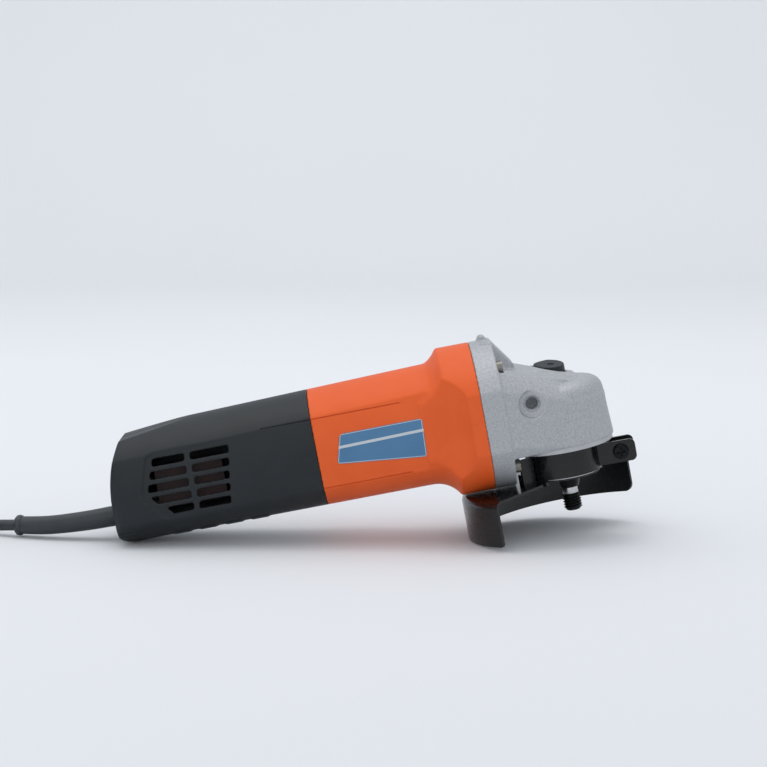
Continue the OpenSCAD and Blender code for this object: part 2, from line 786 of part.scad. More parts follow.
module drive_gear() color("slategray") stand() difference() {
    union() {
        mirror([0, 0, 1]) bevel_teeth(
            tooth_row(gear_teeth, gear_cone, -shift, 0.95, 1.25, 180 + 180 / gear_teeth),
            [gear_pitch - 0.5, 12.6], [14.6, 12.6]);
        post([0, 0], -12.6, -web_z, 15.6);
        post([0, 0], -28, -12.5, 8);
    }
    post([0, 0], -30, 0, 5);
    for (a = [0:90:270]) rotate([0, 0, a]) post(pin_c, -20, 0, lock_pin_r + 0.5);
}

module pinion() color("slategray") stand() difference() {
    union() {
        rotate([0, -90, 0]) bevel_teeth(
            tooth_row(pinion_teeth, pinion_cone, shift, 0.95, 1.25, 180),
            [3.5, gear_pitch + 1.6], [3.5, 15.8]);
        along(24, front_brg[0], 6.4);
        along(15.7, 24.5, 3.7);
    }
    along(15, 34, 3);
}

module pinion_nut() color("silver") stand() difference() {
    translate([-15.7, 0, 0]) rotate([0, 90, 0]) cylinder(r = 4.6, h = 4, $fn = 6);
    along(10, 16, 2.5);
}

// ---------- armature ----------

module armature_shaft() color("silver") stand() {
    along(11, 15.7, 2.5);
    along(15.7, front_brg[0], 3);
    along(front_brg[0], 120, shaft_r);
    along(120, rear_brg[0], 5);
    along(rear_brg[0], rear_brg[1] + 0.8, 3.5);
}

module armature_core() color("darkgray") stand() difference() {
    along(core_x[0], core_x[1], core_r);
    along(core_x[0] - 1, core_x[1] + 1, shaft_r);
    for (i = [0:11]) rotate([i * 30, 0, 0]) {
        translate([0, 0, 11]) along(core_x[0] - 1, core_x[1] + 1, 2.2);
        block([-core_x[1] - 1, -core_x[0] + 1], [-0.8, 0.8], [11, 16]);
    }
}

module armature_winding() color("chocolate") stand() {
    for (end = [[core_x[0] - 10, core_x[0]], [core_x[1], core_x[1] + 11]]) difference() {
        union() {
            along(end[0] + 1.5, end[1] - 1.5, 13.6);
            along(end[0], end[1], 12.2);
        }
        along(end[0] - 1, end[1] + 1, shaft_r);
    }
}

module commutator() color("peru") stand() difference() {
    union() {
        along(comm_x[0], comm_x[1], commutator_r);
        along(comm_x[0], comm_x[0] + 2, commutator_r + 1.4);
    }
    along(comm_x[0] - 1, comm_x[1] + 1, 5);
    for (i = [0:23]) rotate([i * 15, 0, 0])
        block([-comm_x[1] - 1, -comm_x[0] + 1], [-0.3, 0.3], [commutator_r - 1, commutator_r + 3]);
}

module fan() color("dimgray") stand() rotate([0, -90, 0]) {
    disc_t = 2;
    hub_r = 9;
    translate([0, 0, fan_x[0]]) linear_extrude(fan_x[1] - fan_x[0] - disc_t) difference() {
        union() {
            circle(r = hub_r);
            for (i = [0:fan_blades - 1]) rotate(i * 360 / fan_blades)
                translate([hub_r - 2.4, 0]) rotate(24) square([fan_r - hub_r, 1.4]);
        }
        circle(r = shaft_r);
    }
    translate([0, 0, fan_x[1] - disc_t]) difference() {
        cylinder(r = fan_r, h = disc_t);
        translate([0, 0, -1]) cylinder(r = shaft_r, h = disc_t + 2);
    }
}

// ---------- stator and brushes ----------

module stator_core() color("darkgray") stand() difference() {
    intersection() {
        along(core_x[0], core_x[1], 28.4);
        block([-130, -60], [-22.9, 22.9], [-40, 40]);
    }
    along(core_x[0] - 1, core_x[1] + 1, core_r + air_gap);
    for (s = [-1, 1]) for (t = [-1, 1]) translate([0, s * 15.5, t * 11.5])
        along(core_x[0] - 1, core_x[1] + 1, 4.6);
}

module field_coils() color("chocolate") stand() for (s = [-1, 1]) difference() {
    intersection() {
        tube_along(core_x[0] - 8, core_x[1] + 8, 24.5, 17.6);
        union() {
            block([-core_x[1] - 8, -core_x[1]], [-19.6, 19.6], s > 0 ? [7, 30] : [-30, -7]);
            block([-core_x[0], -core_x[0] + 8], [-19.6, 19.6], s > 0 ? [7, 30] : [-30, -7]);
            for (t = [-1, 1]) translate([0, t * 15.5, s * 11.5])
                along(core_x[0] - 1, core_x[1] + 1, 4.3);
        }
    }
}

module air_baffle() color("black") stand() difference() {
    intersection() {
        along(fan_x[1] + 1.5, fan_x[1] + 3.5, 34);
        body_core(60, 70, wall + 0.3);
    }
    along(60, 70, 19);
}

module brush_holders() color("darkgoldenrod") stand() for (s = [-1, 1]) difference() {
    block([-brush_x - 5, -brush_x + 5], [-4.6, 4.6],
          s > 0 ? [commutator_r + 2, 28.4] : [-28.4, -commutator_r - 2]);
    block([-brush_x - 4.05, -brush_x + 4.05], [-3.05, 3.05], s > 0 ? [10, 27.4] : [-27.4, -10]);
}

module carbon_brushes() color("black") stand() for (s = [-1, 1]) difference() {
    block([-brush_x - 4, -brush_x + 4], [-3, 3], s > 0 ? [8, 22] : [-22, -8]);
    along(120, 160, commutator_r + slip);
}

module brush_springs() color("silver") stand() for (s = [-1, 1]) for (k = [0:3])
    translate([-brush_x, 0, s * (22.75 + k * 1.3)]) rotate_extrude()
        translate([2, 0]) circle(r = 0.45);

// ---------- switch, filter and leads ----------

module switch_block() color("black") stand() difference() {
    block([-214, -188], [3, 23], [-7, 13]);
    block([-toggle_x - 6, -toggle_x + 5 + switch_travel], [16, 30], [slide_z - 3.4, slide_z + 3.4]);
}

module switch_toggle() color("firebrick") stand()
    block([-toggle_x - 4, -toggle_x], [17, rod_y[0]], [slide_z - 3, slide_z + 3]);

module switch_rod() color("silver") stand()
    block([-rod_end, -slide_x + 6], rod_y, [slide_z - 3.5, slide_z + 3.5]);

module switch_button() color("black") stand() {
    translate([-slide_x, body_side + 0.25, slide_z]) rotate([-90, 0, 0]) {
        rounded_slab([33, 13, 1.6], 3);
        difference() {
            rounded_slab([22, 10, 4.6], 2.5);
            for (i = [-3:3]) translate([i * 2.8, 0, 5.6]) rotate([90, 0, 0])
                cylinder(r = 1.3, h = 12, center = true);
        }
    }
    block([-slide_x - 4, -slide_x + 4], [rod_y[1], body_side + 0.3], [slide_z - 2.8, slide_z + 2.8]);
}

module capacitor() color("darkred") stand() difference() {
    block([-221, -184], [-21, -8], [-14, 8]);
    for (z = [-14, 8]) translate([-200, -21, z]) rotate([45, 0, 0]) cube([60, 1.6, 1.6], center = true);
}

module lead_wires() {
    wire = 0.9;
    supply = [[-214.1, 6, 8], [-216.5, 6, 8.2], [-220, 2, 9], [-222.8, -4, 8], [-224, -10, 4],
              [-223.6, -14.6, 2], [-221.1, -15, 2]];
    color("red") stand() {
        sweep(supply, [for (p = supply) wire], 8);
        for (s = [-1, 1]) {
            z0 = s > 0 ? 8 : -2;
            feed = [[-187.9, 8, z0], [-185, 8, z0 + s * 0.2], [-178, 5, s * 13], [-170, 2, s * 17.4],
                    [-160, 0.4, s * 18.6], [-151, 0, s * 19], [-147.1, 0, s * 19]];
            sweep(feed, [for (p = feed) wire], 8);
        }
    }
}

module cord_clamp() color("black") stand() difference() {
    translate([-227, 0, -16.1]) rounded_slab([8, 24, 2.8], 2);
    translate([0, 0, -exit_z]) along(215, 240, cord_r);
    for (y = [-8.5, 8.5]) post([-227, y], -20, -10, 1.35);
}

module cord_clamp_screws() color("silver") stand() for (y = [-8.5, 8.5]) {
    post([-227, y], -13.3, -11.5, 2.6);
    post([-227, y], -25, -13.3, 1.2);
}

module cord_tail() color("black") stand() translate([0, 0, -exit_z]) along(218, 236.5, cord_r);

// ---------- spindle lock ----------

module lock_button() color("black") stand() difference() {
    intersection() {
        post(lock_c, button_z, button_z + 6.8, lock_r);
        translate([lock_c[0], lock_c[1], button_z - 1]) rotate([9, 8, 0])
            translate([0, 0, -3.2]) cube([30, 30, 19.2], center = true);
    }
    translate([lock_c[0], lock_c[1], button_z - 1]) rotate([9, 8, 0])
        translate([0, 0, 5.6]) cylinder(r = 2, h = 3);
    post(pin_c, button_z - 1, button_z + 3.2, lock_pin_r + 1.5);
    post(pin_c, button_z, button_z + 4.4, lock_pin_r);
}

module lock_pin() color("silver") stand()
    post(pin_c, -web_z + 1, button_z + 4.4, lock_pin_r);

module lock_spring() color("silver") stand() for (k = [0:4])
    translate([pin_c[0], pin_c[1], pocket_z + 0.3 + k * (button_z + 2.6 - pocket_z) / 4])
        rotate_extrude() translate([lock_pin_r + 0.75, 0]) circle(r = 0.3);

// ---------- guard ----------

module guard_shell() color("black") stand() difference() {
    union() {
        rotate([0, 0, guard_from]) rotate_extrude(angle = guard_to - guard_from) {
            guard_profile();
            hub_profile();
        }
        guard_tab();
    }
    rim_corner(guard_from, 1, 5);
    rim_corner(guard_to, -1, 2);
}

// Cuts the lower corner of the rim's end round; side says which way the rim runs from it
module rim_corner(angle, side, r) {
    rotate([0, 0, angle]) translate([guard_r, 0, -rim_z]) rotate([0, 90, 0]) difference() {
        translate([-r, side > 0 ? -1 : -r, -guard_bend]) cube([r + 1, r + 1, 2 * guard_bend]);
        translate([-r + 0.04, side * (r - 0.04), -10]) cylinder(r = r, h = 20);
    }
}

// Section of plate, bend and rim
module guard_profile() {
    top = -plate_z + guard_t / 2;
    bend_c = [guard_r - guard_bend, top - guard_bend];
    translate([collar_out + 1.2, top - guard_t]) square([bend_c[0] - collar_out - 1.2, guard_t]);
    translate([guard_r - guard_t, -rim_z]) square([guard_t, bend_c[1] + rim_z]);
    intersection() {
        difference() {
            translate(bend_c) circle(r = guard_bend);
            translate(bend_c) circle(r = guard_bend - guard_t);
        }
        translate(bend_c) square(guard_bend);
    }
}

// Section of the ring round the collar, with a rounded weld against the collar
module hub_profile() {
    weld = 2;
    top = -plate_z + guard_t / 2;
    translate([collar_out, top - guard_t]) square([2.4, guard_t]);
    difference() {
        translate([collar_out, top - 0.3]) square([weld, 1.9]);
        translate([collar_out + weld, top + weld]) circle(r = weld);
    }
}

module guard_tab() {
    rotate([0, 0, 206]) {
        block([collar_out + 0.5, collar_out + 8.4], [-1.6, 0], [-plate_z, -26.5]);
        block([collar_out + 0.5, collar_out + 2], [-5, 0], [-plate_z, -26.5]);
        block([collar_out + 6.9, collar_out + 8.4], [-5, 0], [-plate_z, -35]);
    }
}

module guard_collar() color("black") stand() rotate([0, 0, clamp_angle]) {
    slot = lug_gap / 2;
    top = -head_bottom - retainer_t - 0.6;
    difference() {
        post([0, 0], -plate_z - guard_t / 2, top, collar_out);
        post([0, 0], -60, 0, collar_in);
        block([0, 40], [-slot + 1.5, slot - 1.5], [-60, 0]);
        rotate([0, 0, guard_to - clamp_angle + 4])
            rotate_extrude(angle = 360 - guard_to + guard_from - 8)
                translate([10, -plate_z - 5]) square([20, 7.8]);
    }
    for (s = [-1, 1]) difference() {
        intersection() {
            block([neck_r - 1, lug_end], s > 0 ? [slot, slot + collar_t] : [-slot - collar_t, -slot],
                  [-lug_z - lug_h / 2, -lug_z + lug_h / 2]);
            union() {
                block([neck_r - 2, lug_end - 3], [-20, 20], [-50, -20]);
                block([neck_r - 2, lug_end + 1], [-20, 20],
                      [-lug_z - lug_h / 2 + 3, -lug_z + lug_h / 2 - 3]);
                for (t = [-1, 1]) translate([lug_end - 3, 20, -lug_z + t * (lug_h / 2 - 3)])
                    rotate([90, 0, 0]) cylinder(r = 3, h = 40);
            }
        }
        post([0, 0], -60, 0, collar_in);
        translate([lug_r, 20, -lug_z]) rotate([90, 0, 0]) cylinder(r = clamp_r + 0.2, h = 40);
    }
}

module clamp_screw() color("black") stand() rotate([0, 0, clamp_angle])
    translate([lug_r, 0, -lug_z]) rotate([-90, 0, 0]) {
        out = lug_gap / 2 + collar_t;
        translate([0, 0, -out]) cylinder(r = clamp_r, h = 2 * out + 5.5);
        difference() {
            translate([0, 0, -out - 2.9]) cylinder(r1 = 3.7, r2 = 4.4, h = 2.9);
            translate([0, 0, -out - 2]) {
                cube([5, 1.1, 2.2], center = true);
                cube([1.1, 5, 2.2], center = true);
            }
        }
    }

module clamp_nut() color("silver") stand() rotate([0, 0, clamp_angle])
    translate([lug_r, lug_gap / 2 + collar_t, -lug_z]) rotate([-90, 0, 0]) difference() {
        cylinder(r = 4.6, h = 4, $fn = 6);
        translate([0, 0, -1]) cylinder(r = clamp_r, h = 6);
    }

// ---------- cord ----------

module cord_boot() color("black") {
    stand() translate([0, 0, -exit_z]) difference() {
        union() {
            along(237, handle_x + 0.2, 5.95);
            along(239, handle_x - 3, 8.5);
        }
        along(230, 237.5, cord_r);
    }
    route = curve(boot_route, 4);
    last = len(route) - 1;
    sweep(route, [for (i = [0:last]) i > last - 1 ? 5.8 : 5.8 - 0.9 * i / last], 12);
}

module cord() color("black") {
    route = curve(cord_route, 2);
    sweep(route, [for (p = route) cord_r], 10);
    sweep(end_route, [for (p = end_route) cord_r], 10);
}

module cord_coil() color("black") translate([coil_c[0], coil_c[1], tie_t]) rotate_extrude()
    translate([coil_r - coil_w / 2, 0]) hull() for (u = [0, 1]) for (v = [0, 1])
        translate([cord_r + u * (coil_w - cord_d), cord_r + v * (coil_w - cord_d)]) circle(r = cord_r, $fn = 24);

module cord_tie() color("dimgray") translate([coil_c[0], coil_c[1] - coil_r, 0]) difference() {
    width = 12;
    translate([-width / 2, -coil_w / 2 - tie_t - 0.9, 0]) cube([width, coil_w + 2 * tie_t + 1.8, coil_w + 2 * tie_t]);
    translate([-width, -coil_w / 2 - 0.9, tie_t]) cube([2 * width, coil_w + 1.8, coil_w]);
}

module plug_body() color("black") translate(plug_at) rotate([0, 0, -90]) {
    translate([0, 0, -plug_t / 2]) linear_extrude(plug_t) intersection() {
        union() {
            translate([0, -6]) square([14, 12]);
            translate([12, 0]) circle(r = 12);
            translate([plug_len - plug_w / 2, 0]) circle(r = plug_w / 2);
        }
        translate([0, -plug_w / 2]) square([plug_len - 2, plug_w]);
    }
}

module plug_pins() color("silver") translate(plug_at) rotate([0, 0, -90]) for (s = [-1, 1])
    translate([plug_len - 2, s * pin_pitch / 2, 0]) rotate([0, 90, 0]) {
        cylinder(r = pin_r, h = pin_len - 1);
        translate([0, 0, pin_len - 1]) cylinder(r1 = pin_r, r2 = pin_r - 1, h = 1);
    }

motor_housing();
handle_right();
handle_left();
handle_screws();
gear_housing();
housing_screws();
bearing_retainer();
retainer_screws();
rating_label();
spindle();
drive_gear();
gear_circlip();
dust_ring();
spindle_bearing_inner();
spindle_bearing_outer();
spindle_top_bush();
bearing_balls();
armature_shaft();
armature_core();
armature_winding();
commutator();
fan();
pinion();
pinion_nut();
front_bearing_inner();
front_bearing_outer();
rear_bearing_inner();
rear_bearing_outer();
rear_bearing_sleeve();
stator_core();
field_coils();
air_baffle();
brush_holders();
carbon_brushes();
brush_springs();
switch_block();
switch_toggle();
switch_button();
switch_rod();
capacitor();
lead_wires();
cord_clamp();
cord_clamp_screws();
cord_tail();
lock_button();
lock_pin();
lock_spring();
guard_shell();
guard_collar();
clamp_screw();
clamp_nut();
cord_boot();
cord();
cord_coil();
cord_tie();
plug_body();
plug_pins();
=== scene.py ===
"""Angle grinder for 100 mm discs, lying on its guard and the heel of its handle."""
import json
import math

import bpy
from mathutils import Matrix, Vector


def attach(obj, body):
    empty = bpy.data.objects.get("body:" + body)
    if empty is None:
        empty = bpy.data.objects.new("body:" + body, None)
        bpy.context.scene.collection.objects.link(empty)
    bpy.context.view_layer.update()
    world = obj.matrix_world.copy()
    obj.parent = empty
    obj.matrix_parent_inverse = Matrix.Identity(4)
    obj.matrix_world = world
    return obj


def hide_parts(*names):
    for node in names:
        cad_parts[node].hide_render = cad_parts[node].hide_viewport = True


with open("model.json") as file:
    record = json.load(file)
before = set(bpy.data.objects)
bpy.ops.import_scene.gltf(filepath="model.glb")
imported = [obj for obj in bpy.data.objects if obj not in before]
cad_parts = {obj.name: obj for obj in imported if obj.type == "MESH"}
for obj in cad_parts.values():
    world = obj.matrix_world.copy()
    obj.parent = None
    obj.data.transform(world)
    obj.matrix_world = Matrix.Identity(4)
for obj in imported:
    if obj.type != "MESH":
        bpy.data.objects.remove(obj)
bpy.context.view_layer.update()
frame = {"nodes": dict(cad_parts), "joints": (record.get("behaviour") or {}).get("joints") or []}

MM = 0.001
joints = {j["name"]: j for j in frame["joints"]}

# The tool's own frame: forward along the motor axis, left, and up along the spindle
apex = Vector(joints["spindle_spin"]["pos_m"])
forward = Vector(joints["armature_spin"]["axis"]).normalized()
up = Vector(joints["spindle_spin"]["axis"]).normalized()
left = up.cross(forward)
tool = Matrix((forward, left, up)).transposed().to_4x4()
tool.translation = apex


def in_tool(x, y, z):
    """A point of the tool's own frame, given in millimetres, in the row frame in metres."""
    return tool @ (Vector((x, y, z)) * MM)


# ---------------------------------------------------------------- camera, light and stage


def make_camera():
    """Looks at the tool's right side from slightly above, with a long lens."""
    elevation = math.radians(7.16)
    swing = math.radians(-1.01)
    distance, aside, rise = 1.105, 0.1019, 0.0512
    lens_per_width = 2000 / 767
    target = in_tool(0, 0, -42.4)
    turn = Matrix.Rotation(swing, 4, "Z")
    right = turn @ Vector((1, 0, 0))
    ahead = turn @ Vector((0, math.cos(elevation), -math.sin(elevation)))
    above = right.cross(ahead)
    data = bpy.data.cameras.new("camera")
    data.sensor_width = 36
    data.lens = lens_per_width * data.sensor_width
    data.clip_end = 20
    camera = bpy.data.objects.new("camera", data)
    place = Matrix((right, above, -ahead)).transposed().to_4x4()
    place.translation = target - ahead * distance - right * aside + above * rise
    camera.matrix_world = place
    bpy.context.scene.collection.objects.link(camera)
    bpy.context.scene.camera = camera


def add_light(name, place, aim, size, power, tone):
    data = bpy.data.lights.new(name, "AREA")
    data.shape = "DISK"
    data.size = size
    data.energy = power
    data.color = tone
    light = bpy.data.objects.new(name, data)
    light.location = place
    light.rotation_euler = (Vector(aim) - Vector(place)).to_track_quat("-Z", "Y").to_euler()
    bpy.context.scene.collection.objects.link(light)


def make_stage():
    """A pale sweep: floor, round corner and back wall in one sheet."""
    floor_size, wall_height, corner_r, steps = 6, 3, 0.9, 12
    bpy.ops.object.select_all(action="DESELECT")
    bpy.ops.mesh.primitive_plane_add(size=floor_size, location=(0, -1.2, 0))
    sweep = bpy.context.object
    sweep.name = "sweep"
    bpy.ops.object.mode_set(mode="EDIT")
    bpy.ops.mesh.select_mode(type="EDGE")
    bpy.ops.mesh.select_all(action="DESELECT")
    bpy.ops.object.mode_set(mode="OBJECT")
    for edge in sweep.data.edges:
        edge.select = all(sweep.data.vertices[v].co.y > floor_size / 3 for v in edge.vertices)
    bpy.ops.object.mode_set(mode="EDIT")
    for i in range(steps):
        a0, a1 = (math.pi / 2 * k / steps for k in (i, i + 1))
        move = (0, corner_r * (math.sin(a1) - math.sin(a0)), corner_r * (math.cos(a0) - math.cos(a1)))
        bpy.ops.mesh.extrude_region_move(TRANSFORM_OT_translate={"value": move})
    bpy.ops.mesh.extrude_region_move(TRANSFORM_OT_translate={"value": (0, 0, wall_height)})
    bpy.ops.object.mode_set(mode="OBJECT")
    bpy.ops.object.shade_smooth()
    return sweep


def light_scene():
    """An even white surround, with a large soft light overhead and a weaker one in front."""
    world = bpy.data.worlds.new("studio")
    world.use_nodes = True
    background = world.node_tree.nodes["Background"]
    background.inputs["Color"].default_value = (0.95, 0.97, 1.0, 1)
    background.inputs["Strength"].default_value = 0.88
    bpy.context.scene.world = world
    bpy.context.scene.view_settings.view_transform = "Standard"
    warm_white = (1.0, 0.99, 0.98)
    add_light("overhead", (-0.35, 0.1, 1.6), (0, 0, 0.05), 2.2, 6.5, warm_white)
    add_light("wall_wash", (0, 0.2, 2.4), (0, 2.8, 1.1), 1.6, 20, warm_white)
    add_light("front_fill", (-0.3, -1.7, 0.8), (0, 0, 0.05), 1.4, 2.4, warm_white)


# ---------------------------------------------------------------- modelling helpers


def select_only(obj):
    if bpy.context.object and bpy.context.object.mode != "OBJECT":
        bpy.ops.object.mode_set(mode="OBJECT")
    bpy.ops.object.select_all(action="DESELECT")
    obj.select_set(True)
    bpy.context.view_layer.objects.active = obj


def apply_all(obj):
    select_only(obj)
    for modifier in list(obj.modifiers):
        bpy.ops.object.modifier_apply(modifier=modifier.name)


def settle(obj, name, into=tool):
    """Moves a piece from the frame it was modelled in to the row frame, into its mesh."""
    obj.name = name
    obj.data.name = name
    obj.data.transform(into @ obj.matrix_world)
    obj.matrix_world = Matrix.Identity(4)
    return obj


def dress(obj, material, body, slot, *nodes):
    """Gives a finished piece its material and body, and the CAD nodes it stands for."""
    obj.data.materials.clear()
    obj.data.materials.append(material)
    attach(obj, body)
    if nodes:
        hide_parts(*nodes)


def smooth_out(obj, passes, group=""):
    """Relaxes the mesh, or only the vertex group that is named."""
    smooth = obj.modifiers.new("soft", "SMOOTH")
    smooth.factor = 0.5
    smooth.iterations = passes
    smooth.vertex_group = group
    apply_all(obj)


def softened(node, name, voxel, passes, blend_where=None, blend_passes=0):
    """A copy of a CAD node as one skin with rounded edges, as a mould or a casting leaves them.

    blend_where picks the points, in the tool's frame in mm, that are smoothed blend_passes more."""
    source = frame["nodes"][node]
    copy = bpy.data.objects.new(name, source.data.copy())
    bpy.context.scene.collection.objects.link(copy)
    select_only(copy)
    bpy.ops.object.mode_set(mode="EDIT")
    bpy.ops.mesh.select_all(action="SELECT")
    bpy.ops.mesh.remove_doubles(threshold=1e-6)
    bpy.ops.object.mode_set(mode="OBJECT")
    remesh = copy.modifiers.new("skin", "REMESH")
    remesh.mode = "VOXEL"
    remesh.voxel_size = voxel * MM
    smooth_out(copy, passes)
    if blend_where:
        to_tool = tool.inverted()
        group = copy.vertex_groups.new(name="blend")
        chosen = [v.index for v in copy.data.vertices if blend_where(*(to_tool @ v.co / MM))]
        group.add(chosen, 1.0, "REPLACE")
        smooth_out(copy, blend_passes, group.name)
    bpy.ops.object.shade_smooth()
    copy.data.name = name
    return copy


def turned(name, profile, sides=64):
    """A solid of revolution about Z: a disc drawn out ring by ring along the profile, in mm."""
    (r0, z0), rest = profile[0], profile[1:]
    bpy.ops.object.select_all(action="DESELECT")
    bpy.ops.mesh.primitive_circle_add(
        vertices=sides, radius=r0 * MM, fill_type="NGON", location=(0, 0, 0))
    obj = bpy.context.object
    bpy.ops.object.mode_set(mode="EDIT")
    bpy.ops.transform.translate(value=(0, 0, z0 * MM))
    r, z = r0, z0
    for r1, z1 in rest:
        bpy.ops.mesh.extrude_region_move(TRANSFORM_OT_translate={"value": (0, 0, (z1 - z) * MM)})
        bpy.ops.transform.resize(value=(r1 / r, r1 / r, 1), center_override=(0, 0, z1 * MM))
        r, z = r1, z1
    bpy.ops.mesh.select_all(action="SELECT")
    bpy.ops.mesh.normals_make_consistent(inside=False)
    bpy.ops.object.mode_set(mode="OBJECT")
    bpy.ops.object.shade_smooth_by_angle(angle=math.radians(30))
    obj.name = name
    return obj


def thread_ridge(name, root, crest, pitch, length):
    """A helical ridge about Z that starts at the origin and climbs, in mm."""
    bpy.ops.object.select_all(action="DESELECT")
    bpy.ops.mesh.primitive_circle_add(vertices=4, radius=1, fill_type="NOTHING")
    obj = bpy.context.object
    obj.name = name
    half_root, half_crest = 0.46 * pitch, 0.08 * pitch
    outline = [(root, -half_root), (crest, -half_crest), (crest, half_crest), (root, half_root)]
    for vertex, (r, z) in zip(obj.data.vertices, outline):
        vertex.co = Vector((r, 0, z)) * MM
    screw = obj.modifiers.new("helix", "SCREW")
    screw.axis = "Z"
    screw.screw_offset = pitch * MM
    screw.iterations = round(length / pitch)
    screw.steps = screw.render_steps = 40
    screw.use_merge_vertices = False
    apply_all(obj)
    bpy.ops.object.mode_set(mode="EDIT")
    bpy.ops.mesh.select_all(action="SELECT")
    bpy.ops.mesh.fill_holes(sides=4)
    bpy.ops.mesh.select_all(action="SELECT")
    bpy.ops.mesh.normals_make_consistent(inside=False)
    bpy.ops.object.mode_set(mode="OBJECT")
    bpy.ops.object.shade_smooth_by_angle(angle=math.radians(25))
    return obj


# ---------------------------------------------------------------- materials


def colour(hex_value):
    """A linear colour from an sRGB hex value."""
    parts = [int(hex_value[i:i + 2], 16) / 255 for i in (1, 3, 5)]
    return tuple(p / 12.92 if p <= 0.04045 else ((p + 0.055) / 1.055) ** 2.4 for p in parts) + (1,)


def add_node(tree, kind, settings=(), links=()):
    """Adds one node, sets its values and joins its inputs to other nodes' outputs."""
    node = tree.nodes.new(kind)
    for key, value in dict(settings).items():
        if isinstance(key, str) and hasattr(node, key):
            setattr(node, key, value)
        else:
            node.inputs[key].default_value = value
    for key, output in dict(links).items():
        tree.links.new(output, node.inputs[key])
    return node


def finish(name, light, dark, roughness, metallic=0.0, patch=15, grain=0.4, depth=0.03, **sockets):
    """A surface with broad patches between two colours and a fine grain; sizes in mm."""
    material = bpy.data.materials.new(name)
    material.use_nodes = True
    tree = material.node_tree
    tree.nodes.clear()
    rough_swing = 0.06
    place = add_node(tree, "ShaderNodeTexCoord").outputs["Object"]
    broad = add_node(tree, "ShaderNodeTexNoise", {"Scale": 1000 / patch, "Detail": 3.0},
                     {"Vector": place})
    fine = add_node(tree, "ShaderNodeTexNoise", {"Scale": 1000 / grain, "Detail": 2.0},
                    {"Vector": place})
    spread = add_node(tree, "ShaderNodeMapRange", {"From Min": 0.35, "From Max": 0.65},
                      {"Value": broad.outputs["Fac"]})
    tint = add_node(tree, "ShaderNodeMix", {"data_type": "RGBA", 6: colour(light), 7: colour(dark)},
                    {0: spread.outputs["Result"]})
    rough = add_node(tree, "ShaderNodeMapRange",
                     {"To Min": roughness - rough_swing, "To Max": roughness + rough_swing},
                     {"Value": fine.outputs["Fac"]})
    bump = add_node(tree, "ShaderNodeBump", {"Strength": 1.0, "Distance": depth * MM},
                    {"Height": fine.outputs["Fac"]})
    shader = add_node(tree, "ShaderNodeBsdfPrincipled", {"Metallic": metallic, **sockets},
                      {"Base Color": tint.outputs[2], "Roughness": rough.outputs["Result"],
                       "Normal": bump.outputs["Normal"]})
    add_node(tree, "ShaderNodeOutputMaterial", {}, {"Surface": shader.outputs["BSDF"]})
    return material


# Moulded ABS with a fine spark-eroded skin: saturated, with a soft wide highlight
orange_abs = finish("moulded_orange_abs", "#DD5C23", "#D95820", 0.52, grain=0.5, depth=0.015,
                    **{"Specular IOR Level": 0.3})
# Glass-filled nylon, moulded: blue-black, a dull sheen that breaks up on the grain
black_nylon = finish("moulded_black_nylon", "#1A1F23", "#161B1F", 0.5, grain=0.45, depth=0.02,
                     **{"Specular IOR Level": 0.35})
# Die-cast aluminium, shot-blasted: a dull grey with a sandy sparkle, drawn at 1 mm, coarser
# than the real 0.3 mm grit, so that it shows
cast_aluminium = finish("blasted_cast_aluminium", "#AFB2B6", "#9DA0A5", 0.56, metallic=0.5,
                        patch=1.0, grain=0.7, depth=0.16)
# Machined aluminium: brighter and smoother than the casting beside it
turned_aluminium = finish("turned_aluminium", "#B9BBBD", "#A9ABAE", 0.38, metallic=0.8, grain=0.3)
# Steel sheet with baked black enamel: near black, mirror-like at grazing angles
black_enamel = finish("baked_black_enamel", "#0B0C0E", "#08090A", 0.26, patch=30, grain=0.9,
                      depth=0.006, **{"Specular IOR Level": 0.3, "Coat Weight": 0.25,
                                      "Coat Roughness": 0.15})
# Blackened steel: dark oxide over turned metal
black_oxide = finish("blackened_steel", "#1D1E20", "#151617", 0.36, metallic=0.85, patch=3, grain=0.3)
# Ground steel: bearing rings, balls, shafts and pins
ground_steel = finish("ground_steel", "#C4C5C7", "#B3B4B7", 0.22, metallic=1.0, patch=8, grain=0.2,
                      depth=0.004)
# Zinc-plated screws and strip: pale with a slight yellow cast
zinc_plate = finish("zinc_plated_steel", "#85827B", "#6B6963", 0.36, metallic=0.95, patch=2, grain=0.2,
                    depth=0.01)
# Case-hardened gear steel: darker, slightly oily
gear_steel = finish("hardened_gear_steel", "#77787B", "#5F6063", 0.3, metallic=0.95, patch=4, grain=0.3)
# Laminated core steel, punched in 0.5 mm sheets
core_steel = finish("laminated_core_steel", "#7D7F83", "#5C5E62", 0.45, metallic=0.9, patch=2, grain=0.5,
                    depth=0.05)
# Enamelled copper wire under varnish
copper_wire = finish("varnished_copper_wire", "#B4633A", "#8A4424", 0.3, metallic=0.8, patch=1.5,
                     grain=0.6, depth=0.2, **{"Coat Weight": 0.5})
# Sintered bronze, oil-soaked
sintered_bronze = finish("sintered_bronze", "#A07A45", "#85622F", 0.42, metallic=0.9, patch=2, grain=0.25)
# Drawn brass of the brush boxes
drawn_brass = finish("drawn_brass", "#C6A35B", "#AD8A45", 0.3, metallic=1.0, patch=5, grain=0.2)
# Pressed carbon-graphite
pressed_carbon = finish("pressed_carbon", "#1E1E20", "#161617", 0.55, grain=0.2, depth=0.01)
# Soft PVC of the cord: charcoal, slightly waxy
soft_pvc = finish("charcoal_pvc", "#32373B", "#2B3034", 0.38, patch=25, grain=0.6, depth=0.02,
                  **{"Specular IOR Level": 0.4})
# Nitrile rubber rings
nitrile = finish("nitrile_rubber", "#1B1B1D", "#151516", 0.6, grain=0.4, depth=0.02)
